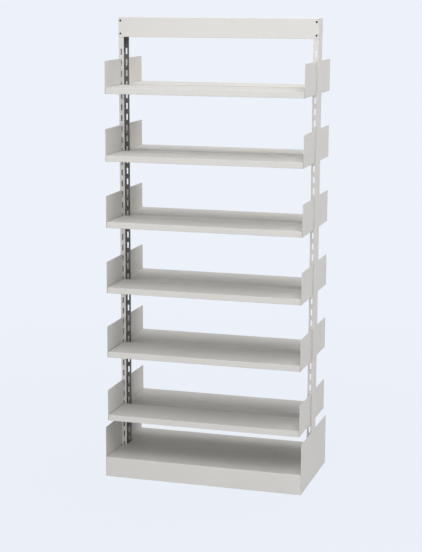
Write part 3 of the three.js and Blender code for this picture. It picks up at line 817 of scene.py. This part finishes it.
class SHELVING_OT_trays(PieceOperator, bpy.types.Operator):
    """Build the folded shelf trays"""

    bl_idname = "shelving.trays"
    bl_label = "Shelf trays"

    def build(self, size):
        shape = tray_shape(size)
        for level in range(1, LEVELS + 1):
            for face, turn_y in FACES.items():
                node = f"{face}_tray_{level}"
                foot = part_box(node)[0].z
                sheet_piece(node, placed(shape, (1.0, turn_y), (0.0, 0.0, foot)), [paint()], size.tray_sheet)


class SHELVING_OT_base(PieceOperator, bpy.types.Operator):
    """Build the base decks with their kick plates, and paint the steel under them"""

    bl_idname = "shelving.base"
    bl_label = "Base decks"

    def build(self, size):
        shape = deck_shape(size)
        for face, turn_y in FACES.items():
            sheet_piece(f"{face}_base_deck", placed(shape, (1.0, turn_y)), [paint()], size.base_sheet)
        for name, node in frame["nodes"].items():
            if name.endswith("_base_bracket") or name == "bottom_spreader":
                node.material_slots[0].material = paint()


class SHELVING_OT_end_panels(PieceOperator, bpy.types.Operator):
    """Build the end panels of the base and the studs that hang them"""

    bl_idname = "shelving.end_panels"
    bl_label = "End panels"

    def build(self, size):
        shape = panel_shape(size)
        studs = welded(stud_patches(size, *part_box("right_end_panel")))
        zinc = finish_named("plated_steel", zinc_nodes)
        for side, sign in SIDES.items():
            node = f"{side}_end_panel"
            sheet_piece(node, placed(shape, (sign, 1.0)), [paint()], size.panel_sheet)
            new_piece(f"{node}_studs", BODY_OF[node], placed(studs, (sign, 1.0)), [zinc])


class SHELVING_OT_glides(PieceOperator, bpy.types.Operator):
    """Build the levelling glides under the base"""

    bl_idname = "shelving.glides"
    bl_label = "Levelling glides"

    def build(self, size):
        zinc = finish_named("plated_steel", zinc_nodes)
        pad = finish_named("moulded_pad", pad_nodes)
        for face in FACES:
            for side in SIDES:
                node = f"{face}_{side}_glide"
                shape = welded(glide_patches(size, *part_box(node)))
                piece = new_piece(f"{node}_turned", BODY_OF[node], shape, [zinc, pad])
                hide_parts(node)


class SHELVING_OT_stage(bpy.types.Operator):
    """Set up the pale floor, the soft lights and the camera"""

    bl_idname = "shelving.stage"
    bl_label = "Studio"

    def execute(self, context):
        scene = context.scene
        colours = scene.shelving_colours
        scene.view_settings.view_transform = "Standard"
        add_floor(colours)
        add_world(scene, colours)
        add_lamp("top_light", place=(0.5, -1.9, 3.9), size=(3.0, 2.5), power=46.0)
        add_lamp("front_light", place=(0.2, -7.5, 2.6), size=(4.0, 2.0), power=42.0)
        add_lamp("side_light", place=(6.0, 0.0, 0.6), size=(2.0, 2.0), power=100.0)
        add_lamp("low_light", place=(-0.2, -5.0, 0.25), size=(5.0, 0.4), power=81.0)
        add_lamp("rear_light", place=(1.1, 1.8, 4.2), size=(2.5, 2.5), power=66.0)
        add_camera(scene)
        return {"FINISHED"}


# Studio

def seen_directly(tree):
    """One for rays from the camera, in gloss and through glass, otherwise nought."""
    path = tree.nodes.new("ShaderNodeLightPath")
    total = path.outputs["Is Camera Ray"]
    for name in ("Is Glossy Ray", "Is Transmission Ray"):
        either = tree.nodes.new("ShaderNodeMath")
        either.operation = "MAXIMUM"
        tree.links.new(total, either.inputs[0])
        tree.links.new(path.outputs[name], either.inputs[1])
        total = either.outputs["Value"]
    return total


def add_floor(colours):
    """Round floor whose own colour shows to the camera, with a faint share of its lit surface near the
    object so that the shadow stays."""
    grid = turned(FLOOR_RADII, np.zeros(len(FLOOR_RADII)), FLOOR_STEPS)
    points, faces, _ = welded([(grid, None, 0)])
    mesh = bpy.data.meshes.new("studio_floor")
    mesh.from_pydata(points, [], faces)
    floor = bpy.data.objects.new("studio_floor", mesh)
    bpy.context.scene.collection.objects.link(floor)
    material = bpy.data.materials.new("studio_floor")
    material.use_nodes = True
    tree = material.node_tree
    tree.nodes.clear()
    lit = tree.nodes.new("ShaderNodeBsdfDiffuse")
    lit.inputs["Color"].default_value = shade(colours.backdrop, FLOOR_LIT_LEVEL)
    glow = tree.nodes.new("ShaderNodeEmission")
    glow.inputs["Color"].default_value = shade(colours.backdrop)
    place = tree.nodes.new("ShaderNodeTexCoord")
    distance = tree.nodes.new("ShaderNodeVectorMath")
    distance.operation = "LENGTH"
    tree.links.new(place.outputs["Object"], distance.inputs[0])
    fade = tree.nodes.new("ShaderNodeMapRange")
    fade.inputs["From Min"].default_value = SHADOW_NEAR
    fade.inputs["From Max"].default_value = SHADOW_FAR
    fade.inputs["To Min"].default_value = GLOW_NEAR
    fade.inputs["To Max"].default_value = 1.0
    tree.links.new(distance.outputs["Value"], fade.inputs["Value"])
    share = tree.nodes.new("ShaderNodeMath")
    share.operation = "MULTIPLY"
    tree.links.new(seen_directly(tree), share.inputs[0])
    tree.links.new(fade.outputs["Result"], share.inputs[1])
    blend = tree.nodes.new("ShaderNodeMixShader")
    tree.links.new(share.outputs["Value"], blend.inputs[0])
    tree.links.new(lit.outputs["BSDF"], blend.inputs[1])
    tree.links.new(glow.outputs["Emission"], blend.inputs[2])
    output = tree.nodes.new("ShaderNodeOutputMaterial")
    tree.links.new(blend.outputs["Shader"], output.inputs["Surface"])
    mesh.materials.append(material)


def add_world(scene, colours):
    """Backdrop colour where the world is seen directly, and a soft sky for the light it gives."""
    world = bpy.data.worlds.new("studio")
    world.use_nodes = True
    tree = world.node_tree
    tree.nodes.clear()
    sky = tree.nodes.new("ShaderNodeBackground")
    sky.inputs["Color"].default_value = SKY_COLOUR
    sky.inputs["Strength"].default_value = SKY_STRENGTH
    seen = tree.nodes.new("ShaderNodeBackground")
    seen.inputs["Color"].default_value = shade(colours.backdrop)
    blend = tree.nodes.new("ShaderNodeMixShader")
    tree.links.new(seen_directly(tree), blend.inputs[0])
    tree.links.new(sky.outputs["Background"], blend.inputs[1])
    tree.links.new(seen.outputs["Background"], blend.inputs[2])
    output = tree.nodes.new("ShaderNodeOutputWorld")
    tree.links.new(blend.outputs["Shader"], output.inputs["Surface"])
    scene.world = world


def add_lamp(name, place, size, power):
    """Rectangular soft lamp aimed at the middle of the object."""
    lamp = bpy.data.lights.new(name, "AREA")
    lamp.shape = "RECTANGLE"
    lamp.size, lamp.size_y = size
    lamp.energy = power
    holder = bpy.data.objects.new(name, lamp)
    holder.location = place
    holder.visible_camera = False
    holder.rotation_euler = (LAMP_TARGET - Vector(place)).to_track_quat("-Z", "Y").to_euler()
    bpy.context.scene.collection.objects.link(holder)


def add_camera(scene):
    """Long lens to the right of the front face, a little above the header, as the photograph was taken."""
    camera = bpy.data.cameras.new("camera")
    camera.sensor_fit = "VERTICAL"
    camera.sensor_height = CAMERA_SENSOR
    camera.lens = CAMERA_LENS
    camera.shift_x, camera.shift_y = CAMERA_SHIFT
    camera.clip_end = CAMERA_REACH
    holder = bpy.data.objects.new("camera", camera)
    holder.location = CAMERA_PLACE
    holder.rotation_euler = (np.radians(90.0 - CAMERA_TILT), 0.0, np.radians(CAMERA_TURN))
    scene.collection.objects.link(holder)
    scene.camera = holder


class SHELVING_PT_panel(bpy.types.Panel):
    """Lists the pieces of the shelving"""

    bl_label = "Library shelving"
    bl_idname = "SHELVING_PT_panel"
    bl_space_type = "VIEW_3D"
    bl_region_type = "UI"
    bl_category = "Shelving"

    def draw(self, context):
        for operator in OPERATORS:
            self.layout.operator(operator.bl_idname)
        for group in (context.scene.shelving_sizes, context.scene.shelving_colours):
            for name in group.__annotations__:
                self.layout.prop(group, name)


OPERATORS = (
    SHELVING_OT_posts,
    SHELVING_OT_header,
    SHELVING_OT_screws,
    SHELVING_OT_brackets,
    SHELVING_OT_trays,
    SHELVING_OT_base,
    SHELVING_OT_end_panels,
    SHELVING_OT_glides,
    SHELVING_OT_stage,
)
CLASSES = (ShelvingSizes, ShelvingColours, *OPERATORS, SHELVING_PT_panel)


def register():
    for entry in CLASSES:
        bpy.utils.register_class(entry)
    bpy.types.Scene.shelving_sizes = PointerProperty(type=ShelvingSizes)
    bpy.types.Scene.shelving_colours = PointerProperty(type=ShelvingColours)


def unregister():
    del bpy.types.Scene.shelving_colours
    del bpy.types.Scene.shelving_sizes
    for entry in reversed(CLASSES):
        bpy.utils.unregister_class(entry)


def main():
    register()
    bpy.ops.shelving.posts()
    bpy.ops.shelving.header()
    bpy.ops.shelving.screws()
    bpy.ops.shelving.brackets()
    bpy.ops.shelving.trays()
    bpy.ops.shelving.base()
    bpy.ops.shelving.end_panels()
    bpy.ops.shelving.glides()
    bpy.ops.shelving.stage()


if __name__ == "__main__":
    main()
